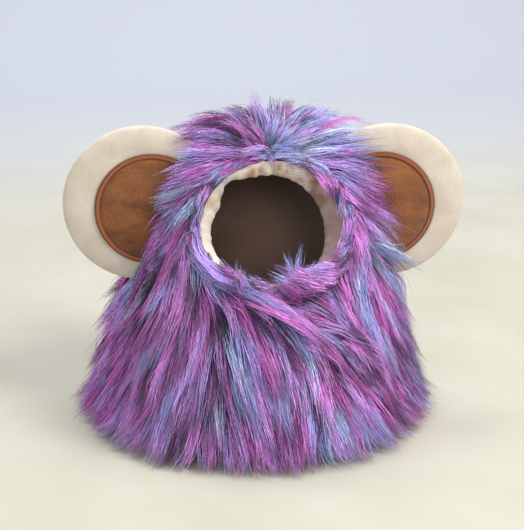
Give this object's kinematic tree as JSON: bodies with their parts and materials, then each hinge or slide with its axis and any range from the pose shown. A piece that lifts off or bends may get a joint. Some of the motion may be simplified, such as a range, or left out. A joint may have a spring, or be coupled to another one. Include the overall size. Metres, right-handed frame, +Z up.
{
  "type": "pet mane hood",
  "caption": "Slip-on hood of long-pile fur for a cat or small dog, with an open face ringed by a gathered casing, a lapped front flap and round padded ears.",
  "frame": {"origin": "middle of the hood's bounds, on the surface that the mane stands on", "axes": "+Z up, -Y the side that the face looks out of, +X the viewer's right, along the line through the two ears"},
  "size_m": [0.238, 0.2068, 0.1829],
  "materials": {
    "long_pile_fur": "long pile in orchid, lilac, blue-grey and dark streaks",
    "lining_cloth": "plain tan lining",
    "twill_casing": "cream twill, gathered on elastic",
    "closure_tape": "hook-and-loop tape",
    "cream_plush": "short soft plush, padded",
    "brown_velour": "brushed velour",
    "brown_stitching": "satin stitch"
  },
  "bodies": {
    "root": {"fur_hood": "long_pile_fur", "lining": "lining_cloth", "face_casing": "twill_casing", "neck_closure": "closure_tape", "ear_left": "cream_plush", "ear_right": "cream_plush", "ear_left_patch": "brown_velour", "ear_right_patch": "brown_velour", "ear_left_trim": "brown_stitching", "ear_right_trim": "brown_stitching"}
  },
  "joints": []
}
